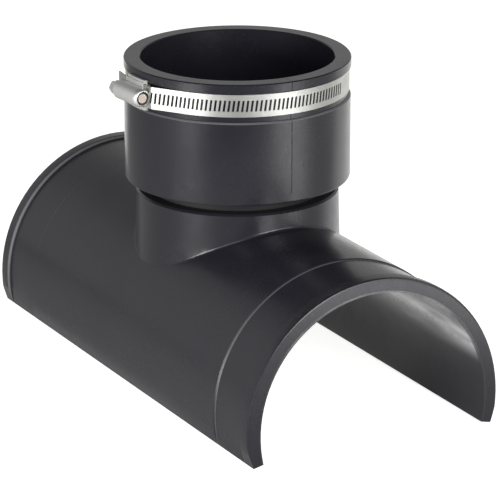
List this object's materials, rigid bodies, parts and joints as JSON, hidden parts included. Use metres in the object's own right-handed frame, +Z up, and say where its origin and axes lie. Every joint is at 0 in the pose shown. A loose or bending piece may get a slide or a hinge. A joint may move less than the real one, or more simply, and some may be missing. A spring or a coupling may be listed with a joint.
{
  "type": "saddle tee",
  "caption": "Flexible saddle tee: a half-pipe saddle that straps over a main pipe, with an upright branch socket held by a worm-drive clamp.",
  "frame": {"origin": "where the axis of the main pipe meets the axis of the branch", "axes": "+X along the main pipe, towards the end shown nearest; +Z up the branch, out of its socket; the clamp's housing lies on the -Y side"},
  "size_m": [0.316, 0.1562, 0.182],
  "materials": {
    "flexible_moulding": "satin",
    "strap_steel": "satin",
    "bridge_steel": "satin",
    "housing_steel": "satin",
    "screw_steel": "satin"
  },
  "bodies": {
    "tee": {"tee_body": "flexible_moulding"},
    "clamp": {"clamp_band": "strap_steel", "clamp_bridge": "bridge_steel", "clamp_housing": "housing_steel"},
    "screw": {"clamp_screw": "screw_steel"}
  },
  "joints": [
    {"name": "clamp_swivel", "type": "hinge", "parent": "tee", "child": "clamp", "pos_m": [0, 0, 0.1525], "axis": [0, 0, 1], "continuous": true},
    {"name": "screw_spin", "type": "hinge", "parent": "clamp", "child": "screw", "pos_m": [0.00611, -0.06983, 0.1525], "axis": [0.9962, 0.0872, 0], "continuous": true}
  ]
}
